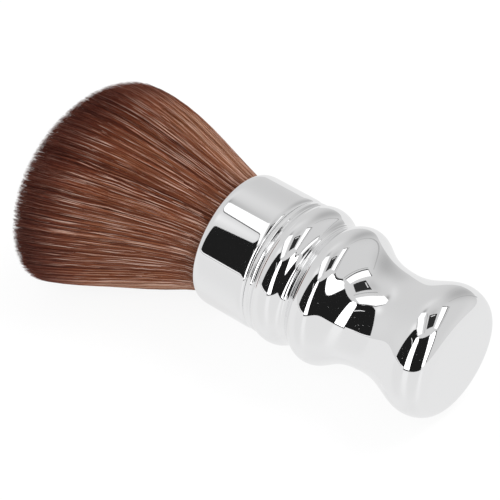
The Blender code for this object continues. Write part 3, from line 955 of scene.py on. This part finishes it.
def cards():
    """The strip lights, cards and dark openings round the brush, as its plating shows them."""
    opening_foot = [(-129, 2.6), (-112, 1.0), (-90, -1.6)]
    sill_foot = [(-129, 1.0), (-112, -0.6), (-90, -3.2)]
    card("opening_left", DARK, opening_foot,
         [(-129, 50), (-121, 57), (-112, 55), (-103, 51.5), (-90, 50)], FAR)
    card("sill", 1.0, sill_foot, opening_foot, FAR + 0.002)
    card("sill_edge", 0.5, [(-129, 0.2), (-112, -1.4), (-90, -4.0)], sill_foot, FAR + 0.002)
    card("opening_right", DARK, [(-92, -4.5), (-41, -4.5)],
         [(-90, 48), (-76, 48), (-40, 49.5)], 0.002)
    card("front_card", BRIGHT, [(-90.5, -2.6), (-75, -2.6)],
         [(-90.5, 46), (-87, 49.5), (-80, 49), (-76, 44)], 0.004)
    card("side_card", BRIGHT, [(-41, 1), (-39, -1), (-34, 0), (-32, 3)],
         [(-39, 44), (-37, 48), (-24, 49), (-20, 45)], 0.004)
    card("side_card_edge", 0.06, [(-32, 2), (-29, 2)], [(-20, 47), (-16, 48)], 0.003)
    card("wall_corner", 0.46, [(80, -2), (82, -2)], [(78, 56), (79.5, 56)], 0.002)
    card("lit_streak", 0.95, [(-106, 42.8), (-100, 40.3), (-95, 36.5), (-91.5, 33.5)],
         [(-106, 43.8), (-100, 41.9), (-95, 38.5), (-91.5, 35.5)], 0.006)
    for left, foot in SPARKS:
        right, top = left + SPARK_SIZE, foot + SPARK_SIZE
        card("spark", 0.8, [(left, foot), (right, foot)], [(left, top), (right, top)], 0.006)

    ceiling_card("opening_top", 0.03, [
        (-0.115, -0.04), (0.12, 0.11), (0.40, -0.25), (0.19, -0.45)])
    ceiling_card("opening_top_bar", 0.85, [
        (-0.01, -0.07), (0.11, 0.025), (0.09, 0.05), (-0.03, -0.045)], 0.01)
    ceiling_card("right_strip", WHITE, [
        (0.065, 0.36), (0.235, 0.50), (0.76, -0.22), (0.52, -0.28)])
    ceiling_card("left_strip", WHITE, [
        (-0.64, 0.0), (-0.655, -0.19), (-0.37, -0.49), (-0.09, -0.79), (0.11, -0.66),
        (-0.36, 0.02)])
    ceiling_card("right_strip_edge", 0.08, [
        (0.235, 0.50), (0.76, -0.22), (0.80, -0.22), (0.26, 0.54)])
    ceiling_card("right_strip_end", 0.12, [
        (0.06, 0.36), (0.235, 0.50), (0.26, 0.54), (0.04, 0.39)])
    ceiling_card("right_line", 0.42, [
        (0.28, 0.57), (0.71, 0.0), (0.86, -0.21), (0.88, -0.20), (0.73, 0.015), (0.30, 0.59)])
    ceiling_card("left_strip_edge", 0.45, [
        (-0.24, -0.02), (0.20, -0.60), (0.22, -0.585), (-0.22, 0.0)])
    ceiling_card("left_strip_end", 0.12, [
        (-0.675, -0.195), (-0.655, -0.19), (-0.37, -0.49), (-0.09, -0.79), (-0.11, -0.81),
        (-0.40, -0.51)], 0.002)


def floor():
    """A pale floor that keeps a faint shadow, and that the chrome sees as a plain table."""
    mesh = bpy.data.meshes.new("floor")
    near, far = -FLOOR_HALF, FLOOR_HALF
    corners = [(near, near, 0.0), (far, near, 0.0), (far, far, 0.0), (near, far, 0.0)]
    mesh.from_pydata(corners, [], [(0, 1, 2, 3)])
    material = bpy.data.materials.new("floor")
    tree = cleared(material)
    path = tree.nodes.new("ShaderNodeLightPath")
    gloss = plain(tree, "ShaderNodeBsdfGlossy", 0.8)
    gloss.inputs["Roughness"].default_value = 0.3
    table = either(tree, 0.07, plain(tree, "ShaderNodeEmission", TABLE_LEVEL), gloss)
    matt = plain(tree, "ShaderNodeBsdfDiffuse", 0.85)
    mirrored = either(tree, path.outputs["Is Glossy Ray"], matt, table)
    seen = either(tree, SHADOW_SHARE, plain(tree, "ShaderNodeEmission", 1.0), matt)
    finish_tree(tree, "ShaderNodeOutputMaterial",
                either(tree, path.outputs["Is Camera Ray"], mirrored, seen))
    put(mesh, "floor", material)


def room():
    """The world: white behind the object, the pale room in the chrome, soft light on the rest."""
    world = bpy.data.worlds.new("room")
    bpy.context.scene.world = world
    tree = cleared(world)
    path = tree.nodes.new("ShaderNodeLightPath")
    light, mirror, backdrop = (plain(tree, "ShaderNodeBackground", level)
                               for level in (LIGHT_LEVEL, ROOM_LEVEL, 1.0))
    mirrored = either(tree, path.outputs["Is Glossy Ray"], light, mirror)
    finish_tree(tree, "ShaderNodeOutputWorld",
                either(tree, path.outputs["Is Camera Ray"], mirrored, backdrop))


def lamp(name, azimuth, elevation, distance, size, power):
    """A soft square lamp that lights the tuft and the floor, not shown in the chrome."""
    light = bpy.data.lights.new(name, "AREA")
    light.size = size
    light.energy = power
    lamp_object = bpy.data.objects.new(name, light)
    away = direction(azimuth, elevation)
    lamp_object.location = RIM_CENTRE + distance * away
    lamp_object.rotation_euler = away.to_track_quat("Z", "Y").to_euler()
    lamp_object.visible_glossy = False
    bpy.context.scene.collection.objects.link(lamp_object)


def direction(azimuth, elevation):
    """Unit vector towards a viewer; azimuth 0 looks along +Y and 90 looks along -X."""
    a, e = math.radians(azimuth), math.radians(elevation)
    return Vector((math.sin(a) * math.cos(e), -math.cos(a) * math.cos(e), math.sin(e)))


def camera():
    """The camera at the photograph's viewing angle."""
    away = direction(CAMERA_AZIMUTH, CAMERA_ELEVATION)
    right = Vector((0.0, 0.0, 1.0)).cross(away).normalized()
    down = right.cross(away)
    data = bpy.data.cameras.new("camera")
    data.lens = CAMERA_LENS
    data.sensor_width = CAMERA_SENSOR
    view = bpy.data.objects.new("camera", data)
    view.location = RIM_CENTRE + AIM_RIGHT * right + AIM_DOWN * down + CAMERA_DISTANCE * away
    view.rotation_euler = away.to_track_quat("Z", "Y").to_euler()
    bpy.context.scene.collection.objects.link(view)
    bpy.context.scene.camera = view


def repaint(node, material):
    """Give a CAD node that keeps its shape a better material."""
    piece = frame["nodes"][node]
    for number in range(len(piece.material_slots)):
        piece.material_slots[number].material = material
    if not piece.material_slots:
        piece.data.materials.append(material)


def main():
    plating = chrome()
    strands = filament()
    handle = turned("plated_handle", handle_profile(), plating)
    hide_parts("handle_body")
    collar = turned("plated_ferrule", ferrule_profile(), plating)
    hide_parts("ferrule")
    for piece in (handle, collar):
        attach(piece, "root")

    core = tuft_core(core_material())
    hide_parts("bristle_tuft")
    for piece in [core] + shell_filaments(strands) + dome_filaments(strands):
        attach(piece, "root")

    repaint("knot_cup", moulded_plastic())
    repaint("potting_resin", cast_resin())
    repaint("knot_band", satin_metal())

    floor()
    room()
    room_wall()
    cards()
    lamp("key", azimuth=150.0, elevation=55.0, distance=1.0, size=0.5, power=6.0)
    lamp("fill", azimuth=0.0, elevation=40.0, distance=1.2, size=0.7, power=5.0)
    camera()

    scene = bpy.context.scene
    scene.view_settings.view_transform = "Standard"


main()
